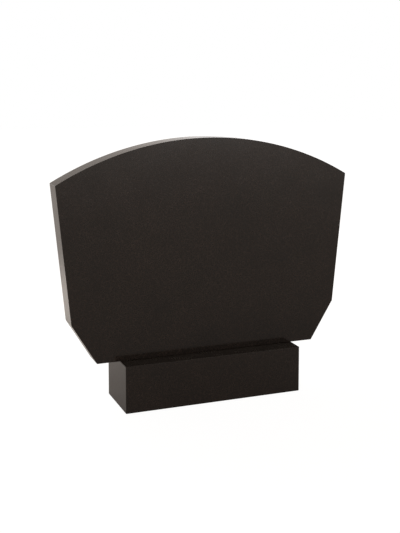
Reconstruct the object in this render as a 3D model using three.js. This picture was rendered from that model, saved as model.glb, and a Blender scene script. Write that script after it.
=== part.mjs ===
// A family headstone of polished black gabbro: a broad arched slab that stands upright on an oblong plinth block.
// Millimetres, +Z up. The origin is the middle of the plinth's underside, and the front faces -Y.
import * as THREE from "three";

// Plinth block
const plinthLength = 600; // along X
const plinthDepth = 200; // along Y
const plinthHeight = 150;

// Slab. It is widest where the arch springs, narrows down to a waist, and is cut back from there to its foot.
const slabWidth = 1000; // at the springing
const slabHeight = 700; // from the foot to the crown of the arch
const slabThickness = 80;
const archRise = 134; // from the springing up to the crown
const waistWidth = 910;
const waistHeight = 129; // above the foot
const footWidth = 750;

// The slab is bedded on the middle of the plinth's top, on a film of stone adhesive of this thickness.
const beddingGap = 0.3;

// Arrises. A mason takes the sharpness off each edge with a small round.
const rimArris = 1.5; // round the rims of the two broad faces of each stone
const cornerArris = 1; // left on the broad faces' own corners, inside the rims
const rimSteps = 3;
const cornerSteps = 4;

const archSteps = 72;

// Polished, nearly black, with a warm cast
const polishedStone = { color: 0x2b2623, roughness: 0.18, metalness: 0 };

// Points on the anticlockwise arc about a centre from one point to another, both included.
function arcPoints(centre, from, to, steps) {
  const radius = from.distanceTo(centre);
  const firstAngle = from.clone().sub(centre).angle();
  const lastAngle = to.clone().sub(centre).angle();
  const sweep = (lastAngle - firstAngle + 2 * Math.PI) % (2 * Math.PI);
  return Array.from({ length: steps + 1 }, (_, i) => {
    const angle = firstAngle + (sweep * i) / steps;
    return new THREE.Vector2(radius * Math.cos(angle), radius * Math.sin(angle)).add(centre);
  });
}

// The arc that rounds off one corner of an anticlockwise outline, between the directions of its two neighbours.
function cornerPoints(before, corner, after) {
  const radius = rimArris + cornerArris;
  const toBefore = before.clone().sub(corner).normalize();
  const toAfter = after.clone().sub(corner).normalize();
  const halfAngle = Math.acos(toBefore.dot(toAfter)) / 2;
  const setback = radius / Math.tan(halfAngle);
  const centre = toBefore.clone().add(toAfter).setLength(radius / Math.sin(halfAngle)).add(corner);
  const start = toBefore.multiplyScalar(setback).add(corner);
  const end = toAfter.multiplyScalar(setback).add(corner);
  return arcPoints(centre, start, end, cornerSteps);
}

// A stone cut to an outline, its thickness centred on z = 0, with the rims of both broad faces rounded.
function cutStone(name, outline, thickness) {
  const geometry = new THREE.ExtrudeGeometry(new THREE.Shape(outline), {
    depth: thickness - 2 * rimArris,
    bevelThickness: rimArris,
    bevelSize: rimArris,
    bevelOffset: -rimArris,
    bevelSegments: rimSteps,
  });
  geometry.translate(0, 0, rimArris - thickness / 2);
  const stone = new THREE.Mesh(geometry, new THREE.MeshStandardMaterial(polishedStone));
  stone.name = name;
  return stone;
}

// The slab's outline seen from the front: x along its width, y up from its foot.
function slabOutline() {
  const halfWidth = slabWidth / 2;
  const archRadius = (halfWidth ** 2 + archRise ** 2) / (2 * archRise);
  const archCentre = new THREE.Vector2(0, slabHeight - archRadius);

  const foot = new THREE.Vector2(footWidth / 2, 0);
  const waist = new THREE.Vector2(waistWidth / 2, waistHeight);
  const spring = new THREE.Vector2(halfWidth, slabHeight - archRise);
  const mirrored = (point) => new THREE.Vector2(-point.x, point.y);

  // The arch leaves the springing square to its own radius.
  const archDirection = spring.clone().sub(archCentre).rotateAround(new THREE.Vector2(), Math.PI / 2);
  const rightSide = [
    ...cornerPoints(mirrored(foot), foot, waist),
    ...cornerPoints(foot, waist, spring),
    ...cornerPoints(waist, spring, archDirection.add(spring)),
  ];
  const archStart = rightSide.at(-1);
  const arch = arcPoints(archCentre, archStart, mirrored(archStart), archSteps);
  return [...rightSide, ...arch.slice(1, -1), ...rightSide.map(mirrored).reverse()];
}

// The plinth's outline seen from above.
function plinthOutline() {
  const corners = [
    new THREE.Vector2(plinthLength / 2, -plinthDepth / 2),
    new THREE.Vector2(plinthLength / 2, plinthDepth / 2),
    new THREE.Vector2(-plinthLength / 2, plinthDepth / 2),
    new THREE.Vector2(-plinthLength / 2, -plinthDepth / 2),
  ];
  return corners.flatMap((corner, i) => cornerPoints(corners.at(i - 1), corner, corners[(i + 1) % 4]));
}

const plinth = cutStone("plinth", plinthOutline(), plinthHeight);
plinth.position.z = plinthHeight / 2;

const slab = cutStone("slab", slabOutline(), slabThickness);
slab.rotation.x = Math.PI / 2; // stands the outline up, facing the front
slab.position.z = plinthHeight + beddingGap;

const headstone = new THREE.Group();
headstone.add(plinth, slab);
export default headstone;
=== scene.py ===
import math

import bpy
import numpy as np
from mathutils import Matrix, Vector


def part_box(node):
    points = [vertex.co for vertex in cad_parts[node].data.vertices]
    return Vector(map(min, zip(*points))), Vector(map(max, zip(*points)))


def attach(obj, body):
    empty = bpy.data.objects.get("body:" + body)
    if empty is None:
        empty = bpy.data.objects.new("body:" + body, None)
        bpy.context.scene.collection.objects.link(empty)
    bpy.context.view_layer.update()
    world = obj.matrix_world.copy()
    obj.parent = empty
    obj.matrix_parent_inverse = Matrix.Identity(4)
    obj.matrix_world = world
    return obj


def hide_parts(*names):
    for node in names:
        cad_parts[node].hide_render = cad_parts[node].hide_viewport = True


# A headstone of polished black gabbro: a broad slab with an arched top, standing on an oblong plinth.
# Metres, +Z up, and the front faces -Y. The overall sizes come from the frame.
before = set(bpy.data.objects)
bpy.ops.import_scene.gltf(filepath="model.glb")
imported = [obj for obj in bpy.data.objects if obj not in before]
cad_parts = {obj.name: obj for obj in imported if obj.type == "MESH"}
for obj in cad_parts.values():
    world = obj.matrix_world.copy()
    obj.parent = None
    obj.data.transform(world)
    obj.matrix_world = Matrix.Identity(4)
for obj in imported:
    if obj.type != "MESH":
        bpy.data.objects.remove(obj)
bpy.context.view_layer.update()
print("frame loaded:", ", ".join(sorted(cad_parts)))


# Camera: to the left and a little above, nearly level, with the view shifted down to frame the stone

cameraValues = {
    "place": (-1.1037, -2.8096, 1.0634),
    "turnDegrees": 21.18,  # to the right of straight ahead
    "dipDegrees": 5.46,
    "lens": 63.14,
    "shiftDown": 0.2,
}


def makeCamera():
    cameraData = bpy.data.cameras.new("camera")
    cameraData.lens = cameraValues["lens"]
    cameraData.shift_y = -cameraValues["shiftDown"]
    camera = bpy.data.objects.new("camera", cameraData)
    camera.location = cameraValues["place"]
    tilt = math.radians(90 - cameraValues["dipDegrees"])
    camera.rotation_euler = (tilt, 0, -math.radians(cameraValues["turnDegrees"]))
    bpy.context.scene.collection.objects.link(camera)
    bpy.context.scene.camera = camera


makeCamera()
print("camera placed")


# Stone cutting: an outline of straight and arched sides carried through a thickness, with every edge eased

def outlineSide(start, end, centre, steps):
    # From one corner to the next: the start plus a share of the way, or that share of the arc about a
    # centre. Returns the points and the outward normal at each.
    share = np.linspace(0, 1, steps + 1)
    if centre is None:
        outward = (end - start)[::-1] * (1, -1)
        normals = np.tile(outward / np.hypot(*outward), (steps + 1, 1))
        return start + share[:, None] * (end - start), normals
    first, last = (np.arctan2(*(corner - centre)[::-1]) for corner in (start, end))
    angle = first + share * ((last - first) % math.tau)
    normals = np.stack([np.cos(angle), np.sin(angle)], axis=1)
    return centre + np.hypot(*(start - centre)) * normals, normals


def outlineSides(corners, centres, steps):
    return [outlineSide(*side) for side in zip(corners, np.roll(corners, -1, axis=0), centres, steps)]


def drawnIn(corners, centres, inset):
    # Each corner moves in by the inset times the sum of its two normals over one plus their dot product.
    ends = np.array([normals for _, normals in outlineSides(corners, centres, [1] * len(corners))])
    before, after = np.roll(ends[:, 1], 1, axis=0), ends[:, 0]
    return corners - inset * (before + after) / (1 + (before * after).sum(axis=1, keepdims=True))


def closedLoop(sides, turnSteps):
    # All the sides in a row. Between two of them the point stays still while its normal turns from one
    # side's to the next side's.
    turn = np.linspace(0, 1, turnSteps + 1)[1:-1, None]
    points, normals, turning = [], [], []
    for (sidePoints, sideNormals), (_, nextNormals) in zip(sides, sides[1:] + sides[:1]):
        turned = (1 - turn) * sideNormals[-1] + turn * nextNormals[0]
        turned /= np.linalg.norm(turned, axis=1, keepdims=True)
        points += [sidePoints, np.tile(sidePoints[-1], (len(turned), 1))]
        normals += [sideNormals, turned]
        turning += [np.zeros(len(sidePoints) - 1, bool), np.ones(len(turned) + 1, bool)]
    return np.concatenate(points), np.concatenate(normals), np.concatenate(turning)


def spannedFace(bottom, right, top, left):
    # Between four sides: the blend upwards plus the blend across, less the blend of the four corners.
    u = np.linspace(0, 1, len(bottom))[None, :, None]
    v = np.linspace(0, 1, len(right))[:, None, None]
    upwards = (1 - v) * bottom[None] + v * top[None]
    across = (1 - u) * left[:, None] + u * right[:, None]
    atCorners = (1 - v) * ((1 - u) * bottom[0] + u * bottom[-1]) + v * ((1 - u) * top[0] + u * top[-1])
    return upwards + across - atCorners


def gridQuads(numbers):
    # The four point numbers round each cell of a grid of them.
    around = [numbers[:-1, :-1], numbers[:-1, 1:], numbers[1:, 1:], numbers[1:, :-1]]
    return np.stack(around, axis=-1).reshape(-1, 4)


def cutStone(corners, centres, steps, faceSides, thickness, values):
    # Local z runs through the thickness. Round the edge, a point is the drawn-in outline plus the arris
    # radius times a normal that swings from straight up, out to the outline's own normal, and on to
    # straight down.
    arris, arrisSteps, half = values["arris"], values["arrisSteps"], thickness / 2
    sides = outlineSides(drawnIn(corners, centres, arris), centres, steps)
    loop, loopNormals, turning = closedLoop(sides, arrisSteps)
    swing = np.linspace(math.pi / 2, 0, arrisSteps + 1)
    swing = np.concatenate([swing, -swing[::-1]])
    edgeNormals = np.empty((len(swing), len(loop), 3))
    edgeNormals[..., :2] = np.cos(swing)[:, None, None] * loopNormals
    edgeNormals[..., 2] = np.sin(swing)[:, None]
    edge = arris * edgeNormals
    edge[..., :2] += loop
    edge[..., 2] += (half - arris) * np.repeat([1, -1], arrisSteps + 1)[:, None]

    bottom, right, top, left = (
        np.concatenate([sides[group[0]][0]] + [sides[side][0][1:] for side in group[1:]])
        for group in faceSides
    )
    plan = spannedFace(bottom, right, top[::-1], left[::-1])
    upper, lower = (np.dstack([plan, np.full(plan.shape[:2], z)]) for z in (half, -half))
    grids = [edge, upper, lower]
    points = np.concatenate([grid.reshape(-1, 3) for grid in grids])
    faceNormals = np.repeat([[0, 0, 1], [0, 0, -1]], upper.size // 3, axis=0)

    counts = np.cumsum([grid.size // 3 for grid in grids])
    numbers = np.split(np.arange(counts[-1]), counts[:-1])
    edgeNumbers, upperNumbers, lowerNumbers = (
        part.reshape(grid.shape[:2]) for part, grid in zip(numbers, grids)
    )
    edgeQuads = gridQuads(np.hstack([edgeNumbers, edgeNumbers[:, :1]]))[:, ::-1]
    faceQuads = np.concatenate([gridQuads(upperNumbers), gridQuads(lowerNumbers)[:, ::-1]])
    onArris = np.ones((len(swing) - 1, len(loop)), bool)
    onArris[arrisSteps] = turning
    return {
        "points": points,
        "normals": np.concatenate([edgeNormals.reshape(-1, 3), faceNormals]),
        "quads": np.concatenate([edgeQuads, faceQuads]),
        "arris": np.concatenate([onArris.ravel(), np.zeros(len(faceQuads), bool)]),
    }


def stonePiece(name, stone, polish, sawn):
    # Points that fall together become one, and a quad with two of its corners together becomes a
    # triangle. What lies flat at the stone's lowest level is left as the saw left it.
    mergeDecimals = 7  # of a metre
    flatWithin = 1e-6
    rounded = np.round(stone["points"], mergeDecimals)
    _, kept, number = np.unique(rounded, axis=0, return_index=True, return_inverse=True)
    points, normals = stone["points"][kept], stone["normals"][kept]
    quads = number.reshape(-1)[stone["quads"]]
    doubled = quads == np.roll(quads, -1, axis=1)
    whole = doubled.sum(axis=1) < 2
    quads, doubled = quads[whole], doubled[whole]
    cornerCount = 4 - doubled.sum(axis=1)
    lowest = points[quads][..., 2].max(axis=1) < points[:, 2].min() + flatWithin

    mesh = bpy.data.meshes.new(name)
    mesh.vertices.add(len(points))
    mesh.vertices.foreach_set("co", points.ravel())
    mesh.loops.add(int(cornerCount.sum()))
    mesh.loops.foreach_set("vertex_index", quads[~doubled])
    mesh.polygons.add(len(quads))
    mesh.polygons.foreach_set("loop_start", np.cumsum(cornerCount) - cornerCount)
    mesh.polygons.foreach_set("material_index", lowest.astype(int))
    mesh.update(calc_edges=True)
    worn = mesh.attributes.new("arris", "FLOAT", "FACE")
    worn.data.foreach_set("value", stone["arris"][whole].astype(float))
    mesh.normals_split_custom_set_from_vertices(normals)
    mesh.materials.append(polish)
    mesh.materials.append(sawn)
    piece = bpy.data.objects.new(name, mesh)
    bpy.context.scene.collection.objects.link(piece)
    print(f"{name}: {len(points)} points, {len(quads)} faces")
    return piece


# Shader helpers: an input that is a socket gets linked, and any other is set

def addNode(tree, kind, inputs=None, **settings):
    node = tree.nodes.new(kind)
    for key, value in settings.items():
        setattr(node, key, value)
    for key, value in (inputs or {}).items():
        if isinstance(value, bpy.types.NodeSocket):
            tree.links.new(value, node.inputs[key])
        else:
            node.inputs[key].default_value = value
    return node


def calculate(tree, operation, *values):
    return addNode(tree, "ShaderNodeMath", dict(enumerate(values)), operation=operation).outputs[0]


def remap(tree, value, fromLow, fromHigh, toLow, toHigh):
    # Eased from one range into the other, and held at its ends.
    inputs = {
        "Value": value,
        "From Min": fromLow,
        "From Max": fromHigh,
        "To Min": toLow,
        "To Max": toHigh,
    }
    return addNode(tree, "ShaderNodeMapRange", inputs, interpolation_type="SMOOTHSTEP").outputs["Result"]


def mixColours(tree, share, first, second):
    # The mix node's sockets for numbers, vectors and colours have the same names, so they go by place.
    return addNode(tree, "ShaderNodeMix", {0: share, 6: first, 7: second}, data_type="RGBA").outputs[2]


def mixValues(tree, share, first, second):
    return addNode(tree, "ShaderNodeMix", {0: share, 2: first, 3: second}, data_type="FLOAT").outputs[0]


def noise(tree, place, perMetre, detail):
    inputs = {"Vector": place, "Scale": perMetre, "Detail": detail}
    return addNode(tree, "ShaderNodeTexNoise", inputs).outputs["Fac"]


def cellNumber(tree, place, perMetre):
    # A random number for each cell.
    cells = addNode(tree, "ShaderNodeTexVoronoi", {"Vector": place, "Scale": perMetre})
    return addNode(tree, "ShaderNodeSeparateColor", {0: cells.outputs["Color"]}).outputs[0]


def newGroup(name, inputs, outputs):
    # An input's socket follows from its value: none for a vector, a number, or a colour.
    kinds = {type(None): "NodeSocketVector", float: "NodeSocketFloat", tuple: "NodeSocketColor"}
    group = bpy.data.node_groups.new(name, "ShaderNodeTree")
    for socketName, value in inputs.items():
        socket = group.interface.new_socket(socketName, in_out="INPUT", socket_type=kinds[type(value)])
        if value is not None:
            socket.default_value = value
    for socketName, kind in outputs.items():
        group.interface.new_socket(socketName, in_out="OUTPUT", socket_type=kind)
    return group, addNode(group, "NodeGroupInput").outputs, addNode(group, "NodeGroupOutput").inputs


def newMaterial(name):
    material = bpy.data.materials.new(name)
    material.use_nodes = True
    tree = material.node_tree
    return material, tree, tree.nodes["Principled BSDF"], addNode(tree, "ShaderNodeTexCoord").outputs


# Crystals of gabbro, a millimetre or two across: dark pyroxene, paler laths of feldspar and specks of ore

crystalValues = {
    "crystalsPerMetre": 620.0,
    "feldsparShare": 0.5,
    "lathTurns": ((0.7, 0.4, 1.1), (2.0, 1.2, 0.3)),
    "lathStretches": ((1.0, 0.34, 0.6), (0.34, 1.0, 0.6)),
    "bendsPerMetre": 340.0,  # crystal edges are bent by noise
    "bend": 0.0016,
    "cloudsPerMetre": (95.0, 7.0),  # fine and broad
    "clouding": 0.9,
    "oresPerMetre": 1150.0,
    "oreShare": 0.01,
}


def makeCrystals():
    # Three layers of random cells, two of them drawn out into laths that lie different ways. A crystal is
    # paler the further the highest of its three numbers goes past one less a third of the feldspar's share.
    look = crystalValues
    group, given, out = newGroup(
        "gabbroCrystals",
        {
            "Vector": None,
            "Crystals per Metre": look["crystalsPerMetre"],
            "Feldspar Share": look["feldsparShare"],
            "Clouding": look["clouding"],
            "Dark": (0.0, 0.0, 0.0, 1.0),
            "Feldspar": (1.0, 1.0, 1.0, 1.0),
            "Ore": (1.0, 1.0, 1.0, 1.0),
        },
        {"Color": "NodeSocketColor", "Feldspar": "NodeSocketFloat", "Relief": "NodeSocketFloat"},
    )
    density = given["Crystals per Metre"]
    inputs = {"Vector": given["Vector"], "Scale": look["bendsPerMetre"], "Detail": 2.0}
    bends = addNode(group, "ShaderNodeTexNoise", inputs).outputs["Color"]
    inputs = {0: bends, 1: (look["bend"],) * 3, 2: given["Vector"]}
    place = addNode(group, "ShaderNodeVectorMath", inputs, operation="MULTIPLY_ADD").outputs[0]
    grain = cellNumber(group, place, density)
    highest = grain
    for turn, stretch in zip(look["lathTurns"], look["lathStretches"]):
        inputs = {"Vector": place, "Rotation": turn, "Scale": stretch}
        laid = addNode(group, "ShaderNodeMapping", inputs).outputs[0]
        highest = calculate(group, "MAXIMUM", highest, cellNumber(group, laid, density))
    least = calculate(group, "MULTIPLY_ADD", given["Feldspar Share"], -0.333, 1.0)
    pale = remap(group, highest, least, 1.0, 0.0, 1.0)
    body = mixColours(group, pale, given["Dark"], given["Feldspar"])

    # Lighter and darker clouds: one, plus the clouding times the sum of two noises less its mean.
    finePerMetre, broadPerMetre = look["cloudsPerMetre"]
    fine = noise(group, given["Vector"], finePerMetre, detail=3.0)
    broad = noise(group, given["Vector"], broadPerMetre, detail=4.0)
    cloud = calculate(group, "SUBTRACT", calculate(group, "ADD", fine, broad), 1.0)
    lift = calculate(group, "MULTIPLY_ADD", cloud, given["Clouding"], 1.0)
    clouded = addNode(group, "ShaderNodeVectorMath", {0: body, 3: lift}, operation="SCALE").outputs[0]
    number = cellNumber(group, place, look["oresPerMetre"])
    speck = calculate(group, "GREATER_THAN", number, 1.0 - look["oreShare"])
    group.links.new(mixColours(group, speck, clouded, given["Ore"]), out["Color"])
    group.links.new(pale, out["Feldspar"])
    group.links.new(grain, out["Relief"])
    return group


# The mason's rounding of an edge is honed by hand, duller and greyer than the polish beside it

honedValues = {
    "patchesPerMetre": 60.0,
    "patchRange": (0.3, 0.7),  # of the noise, from least honed to most
    "least": 0.45,
}


def makeHoned():
    # The arris mark times patchy noise.
    look = honedValues
    inputs = {"Vector": None, "Strength": 1.0}
    group, given, out = newGroup("honedArris", inputs, {"Mask": "NodeSocketFloat"})
    arris = addNode(group, "ShaderNodeAttribute", attribute_name="arris").outputs["Fac"]
    patches = noise(group, given["Vector"], look["patchesPerMetre"], detail=3.0)
    patchy = remap(group, patches, *look["patchRange"], look["least"], 1.0)
    strength = calculate(group, "MULTIPLY", patchy, given["Strength"])
    group.links.new(calculate(group, "MULTIPLY", arris, strength), out["Mask"])
    return group


# A thin film of dust settles on what faces up

dustValues = {
    "steepest": 0.6,  # upward part of the normal where dust starts to hold
    "level": 0.98,
    "cloudsPerMetre": 25.0,
    "cloudRange": (0.25, 0.75),  # of the noise, from thinnest to thickest
    "unevenness": 0.25,
}


def makeDust():
    # How level the surface is, from a steep slope to flat, times cloudy noise.
    look = dustValues
    inputs = {"Vector": None, "Normal": None, "Strength": 1.0}
    group, given, out = newGroup("settledDust", inputs, {"Mask": "NodeSocketFloat"})
    upward = addNode(group, "ShaderNodeSeparateXYZ", {0: given["Normal"]}).outputs["Z"]
    level = remap(group, upward, look["steepest"], look["level"], 0.0, 1.0)
    clouds = noise(group, given["Vector"], look["cloudsPerMetre"], detail=5.0)
    thinnest, thickest = 1.0 - look["unevenness"], 1.0 + look["unevenness"]
    cloudy = remap(group, clouds, *look["cloudRange"], thinnest, thickest)
    strength = calculate(group, "MULTIPLY", cloudy, given["Strength"])
    group.links.new(calculate(group, "MULTIPLY", level, strength), out["Mask"])
    return group


crystals, honed, dust = makeCrystals(), makeHoned(), makeDust()

polishValues = {
    "dark": (0.0146, 0.0089, 0.006, 1.0),
    "feldspar": (0.03, 0.0194, 0.0145, 1.0),
    "ore": (0.05, 0.038, 0.026, 1.0),
    "roughness": 0.12,
    "haze": 0.02,  # how much the roughness comes and goes
    "hazePerMetre": 14.0,
    "hazeRange": (0.25, 0.75),  # of the noise, from glossiest to dullest
    "crystalGloss": 0.03,  # feldspar takes a little less polish
    "ior": 1.5,
    "honedColour": (0.03, 0.024, 0.02, 1.0),
    "honedRoughness": 0.34,
    "honing": 0.5,
    "dustColour": (0.28, 0.24, 0.2, 1.0),
    "dustRoughness": 0.9,
    "ripplesPerMetre": 9.0,
    "rippleDepth": 0.00008,
    "crystalRelief": 0.000006,
}


def makePolish(name, stoneValues):
    # Each stone comes from its own part of the block.
    look = polishValues
    material, tree, shader, coordinates = newMaterial(name)
    inputs = {"Vector": coordinates["Object"], "Location": stoneValues["blockOffset"]}
    place = addNode(tree, "ShaderNodeMapping", inputs).outputs[0]
    inputs = {"Vector": place, "Dark": look["dark"], "Feldspar": look["feldspar"], "Ore": look["ore"]}
    stone = addNode(tree, "ShaderNodeGroup", inputs, node_tree=crystals).outputs
    inputs = {"Vector": place, "Strength": look["honing"]}
    edge = addNode(tree, "ShaderNodeGroup", inputs, node_tree=honed).outputs["Mask"]
    inputs = {"Vector": place, "Normal": coordinates["Normal"], "Strength": stoneValues["dustCover"]}
    film = addNode(tree, "ShaderNodeGroup", inputs, node_tree=dust).outputs["Mask"]

    colour = mixColours(tree, edge, stone["Color"], look["honedColour"])
    tree.links.new(mixColours(tree, film, colour, look["dustColour"]), shader.inputs["Base Color"])

    dullest, glossiest = look["roughness"] + look["haze"], look["roughness"] - look["haze"]
    hazes = noise(tree, place, look["hazePerMetre"], detail=5.0)
    hazy = remap(tree, hazes, *look["hazeRange"], glossiest, dullest)
    gloss = calculate(tree, "MULTIPLY_ADD", stone["Feldspar"], look["crystalGloss"], hazy)
    gloss = mixValues(tree, edge, gloss, look["honedRoughness"])
    tree.links.new(mixValues(tree, film, gloss, look["dustRoughness"]), shader.inputs["Roughness"])

    ripples = noise(tree, place, look["ripplesPerMetre"], detail=1.0)
    ripple = calculate(tree, "MULTIPLY", ripples, look["rippleDepth"])
    height = calculate(tree, "MULTIPLY_ADD", stone["Relief"], look["crystalRelief"], ripple)
    relief = addNode(tree, "ShaderNodeBump", {"Height": height, "Distance": 1.0})
    tree.links.new(relief.outputs["Normal"], shader.inputs["Normal"])
    shader.inputs["IOR"].default_value = look["ior"]
    return material


# The undersides are as the saw left them: pale, dull, and scored in arcs by the blade

sawnValues = {
    "dark": (0.085, 0.078, 0.072, 1.0),
    "feldspar": (0.17, 0.16, 0.15, 1.0),
    "ore": (0.17, 0.16, 0.15, 1.0),
    "roughness": 0.7,
    "crystalGloss": 0.1,
    "bladeCentre": (0.4, 1.6, 0.0),
    "scoresPerMetre": 38.0,
    "scoreWaver": 1.5,
    "scoreDepth": 0.00035,
}


def makeSawn():
    look = sawnValues
    material, tree, shader, coordinates = newMaterial("sawnGabbro")
    place = coordinates["Object"]
    inputs = {"Vector": place, "Dark": look["dark"], "Feldspar": look["feldspar"], "Ore": look["ore"]}
    stone = addNode(tree, "ShaderNodeGroup", inputs, node_tree=crystals).outputs
    tree.links.new(stone["Color"], shader.inputs["Base Color"])
    gloss = calculate(tree, "MULTIPLY_ADD", stone["Feldspar"], look["crystalGloss"], look["roughness"])
    tree.links.new(gloss, shader.inputs["Roughness"])

    inputs = {"Vector": place, "Location": look["bladeCentre"]}
    swept = addNode(tree, "ShaderNodeMapping", inputs).outputs[0]
    inputs = {
        "Vector": swept,
        "Scale": look["scoresPerMetre"],
        "Distortion": look["scoreWaver"],
        "Detail": 2.0,
    }
    rings = {"wave_type": "RINGS", "rings_direction": "Z"}
    scores = addNode(tree, "ShaderNodeTexWave", inputs, **rings).outputs["Fac"]
    scored = addNode(tree, "ShaderNodeBump", {"Height": scores, "Distance": look["scoreDepth"]})
    tree.links.new(scored.outputs["Normal"], shader.inputs["Normal"])
    return material


sawnStone = makeSawn()
print("stone finishes made")


# Slab: widest where the arch springs, narrowing down to a waist, and cut back from there to its foot

slabValues = {
    "archRise": 0.134,
    "waistWidth": 0.910,
    "waistHeight": 0.129,  # above the foot
    "footWidth": 0.750,
    "arris": 0.0015,
    "arrisSteps": 5,
    "stepsAcross": 96,
    "stepsToWaist": 16,
    "stepsToArch": 44,
    "blockOffset": (0.0, 0.0, 0.0),
    "dustCover": 0.04,
}


def makeSlab():
    values = slabValues
    low, high = (np.array(corner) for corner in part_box("slab"))
    width, thickness, height = high - low
    archRadius = ((width / 2) ** 2 + values["archRise"] ** 2) / (2 * values["archRise"])
    archCentre = np.array([0, height - archRadius])
    foot = np.array([values["footWidth"] / 2, 0])
    waist = np.array([values["waistWidth"] / 2, values["waistHeight"]])
    spring = np.array([width / 2, height - values["archRise"]])
    mirror = (-1, 1)
    corners = np.array([foot * mirror, foot, waist, spring, spring * mirror, waist * mirror])
    centres = [None, None, None, archCentre, None, None]
    across, toWaist, toArch = values["stepsAcross"], values["stepsToWaist"], values["stepsToArch"]
    steps = [across, toWaist, toArch, across, toArch, toWaist]
    faceSides = ([0], [1, 2], [3], [4, 5])  # bottom, right, top, left
    stone = cutStone(corners, centres, steps, faceSides, thickness, values)

    # Stood up: the outline's y goes up, and its upper face comes to the front.
    stand = np.array([[1, 0, 0], [0, 0, 1], [0, -1, 0]])
    middle = (low + high) / 2
    stone["points"] = stone["points"] @ stand + (middle[0], middle[1], low[2])
    stone["normals"] = stone["normals"] @ stand
    return stonePiece("headstoneSlab", stone, makePolish("slabPolish", values), sawnStone)


slab = makeSlab()
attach(slab, "root")
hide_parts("slab")


# Plinth: an oblong block

plinthValues = {
    "arris": 0.0015,
    "arrisSteps": 5,
    "stepsAlong": 60,
    "stepsAcross": 20,
    "blockOffset": (3.1, 1.7, 2.3),
    "dustCover": 0.16,  # more gathers on the ledge, under the slab's face
}


def makePlinth():
    values = plinthValues
    low, high = (np.array(corner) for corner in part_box("plinth"))
    length, depth, height = high - low
    corners = np.array([[-1, -1], [1, -1], [1, 1], [-1, 1]]) * (length / 2, depth / 2)
    steps = [values["stepsAlong"], values["stepsAcross"]] * 2
    stone = cutStone(corners, [None] * 4, steps, ([0], [1], [2], [3]), height, values)
    stone["points"] += (low + high) / 2
    return stonePiece("headstonePlinth", stone, makePolish("plinthPolish", values), sawnStone)


plinth = makePlinth()
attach(plinth, "root")
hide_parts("plinth")


# Floor: pale and matt, with a glow that rises away from the stone, and nearly white to the camera

floorValues = {
    "halfWidth": 14.0,
    "colour": (0.6, 0.6, 0.6, 1.0),
    "glow": 0.145,
    "glowRise": 0.043,  # for each metre away from the stone
    "glowColour": (1.0, 0.9, 0.82, 1.0),
    "wash": 0.75,
    "white": 1.25,
}


def makeFloor():
    look, half = floorValues, floorValues["halfWidth"]
    corners = [(-half, -half, 0), (half, -half, 0), (half, half, 0), (-half, half, 0)]
    mesh = bpy.data.meshes.new("floor")
    mesh.from_pydata(corners, [], [(0, 1, 2, 3)])
    material = bpy.data.materials.new("paleFloor")
    material.use_nodes = True
    tree = material.node_tree
    tree.nodes.clear()
    matt = addNode(tree, "ShaderNodeBsdfDiffuse", {"Color": look["colour"]}).outputs[0]
    place = addNode(tree, "ShaderNodeTexCoord").outputs["Object"]
    distance = addNode(tree, "ShaderNodeVectorMath", {0: place}, operation="LENGTH").outputs["Value"]
    strength = calculate(tree, "MULTIPLY_ADD", distance, look["glowRise"], look["glow"])
    inputs = {"Color": look["glowColour"], "Strength": strength}
    glow = addNode(tree, "ShaderNodeEmission", inputs).outputs[0]
    lit = addNode(tree, "ShaderNodeAddShader", {0: matt, 1: glow}).outputs[0]
    white = addNode(tree, "ShaderNodeEmission", {"Strength": look["white"]}).outputs[0]
    seen = addNode(tree, "ShaderNodeLightPath").outputs["Is Camera Ray"]
    washed = calculate(tree, "MULTIPLY", seen, look["wash"])
    mixed = addNode(tree, "ShaderNodeMixShader", {0: washed, 1: lit, 2: white}).outputs[0]
    addNode(tree, "ShaderNodeOutputMaterial", {"Surface": mixed})
    mesh.materials.append(material)
    floor = bpy.data.objects.new("floor", mesh)
    bpy.context.scene.collection.objects.link(floor)


makeFloor()


# Light: a warm backdrop, brightest and whitest at the horizon, and soft boxes overhead that face down

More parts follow.
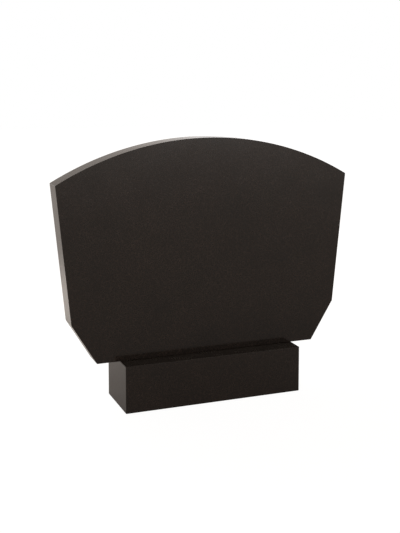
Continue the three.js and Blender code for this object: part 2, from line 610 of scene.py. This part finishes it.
lightValues = {
    "colour": (1.0, 0.9, 0.82),
    "ambient": 0.143,
    "highGlow": 0.75,
    "highGlowTop": 30,  # degrees above the horizon where it ends
    "lowGlow": 0.76,
    "lowGlowTop": 12,
    "lowColour": (0.82, 0.91, 1.0),
}
softBoxes = {
    "backBox": {"place": (-1.2, 2.5, 3.0), "size": 2.5, "spreadDegrees": 180, "watts": 41},
    "sideBox": {"place": (-0.9, 1.15, 2.0), "size": 0.6, "spreadDegrees": 50, "watts": 3.8},
    "rightBox": {"place": (1.8, 1.7, 2.4), "size": 1.4, "spreadDegrees": 90, "watts": 13.5},
}


def makeBackdrop():
    # The ambient light plus two glows that ease away with the height of the direction looked in. The
    # lower one is cool, and makes up white with the rest. The camera itself sees plain white.
    world = bpy.data.worlds.new("backdrop")
    bpy.context.scene.world = world
    world.use_nodes = True
    tree = world.node_tree
    tree.nodes.clear()
    towards = addNode(tree, "ShaderNodeTexCoord").outputs["Generated"]
    upward = addNode(tree, "ShaderNodeSeparateXYZ", {0: towards}).outputs["Z"]
    highTop, lowTop = (math.sin(math.radians(lightValues[key])) for key in ("highGlowTop", "lowGlowTop"))
    high = remap(tree, upward, 0.0, highTop, lightValues["highGlow"], 0.0)
    level = calculate(tree, "ADD", high, lightValues["ambient"])
    inputs = {"Color": (*lightValues["colour"], 1.0), "Strength": level}
    warm = addNode(tree, "ShaderNodeBackground", inputs).outputs[0]
    low = remap(tree, upward, 0.0, lowTop, lightValues["lowGlow"], 0.0)
    inputs = {"Color": (*lightValues["lowColour"], 1.0), "Strength": low}
    cool = addNode(tree, "ShaderNodeBackground", inputs).outputs[0]
    light = addNode(tree, "ShaderNodeAddShader", {0: warm, 1: cool}).outputs[0]
    white = addNode(tree, "ShaderNodeBackground", {"Color": (1.0, 1.0, 1.0, 1.0)}).outputs[0]
    seen = addNode(tree, "ShaderNodeLightPath").outputs["Is Camera Ray"]
    mixed = addNode(tree, "ShaderNodeMixShader", {0: seen, 1: light, 2: white}).outputs[0]
    addNode(tree, "ShaderNodeOutputWorld", {"Surface": mixed})


def makeSoftBoxes():
    for name, box in softBoxes.items():
        lampData = bpy.data.lights.new(name, "AREA")
        lampData.size = box["size"]
        lampData.spread = math.radians(box["spreadDegrees"])
        lampData.energy = box["watts"]
        lampData.color = lightValues["colour"]
        lamp = bpy.data.objects.new(name, lampData)
        lamp.location = box["place"]
        lamp.visible_camera = False
        bpy.context.scene.collection.objects.link(lamp)


makeBackdrop()
makeSoftBoxes()
bpy.context.scene.view_settings.view_transform = "Standard"
print("floor and lights set")
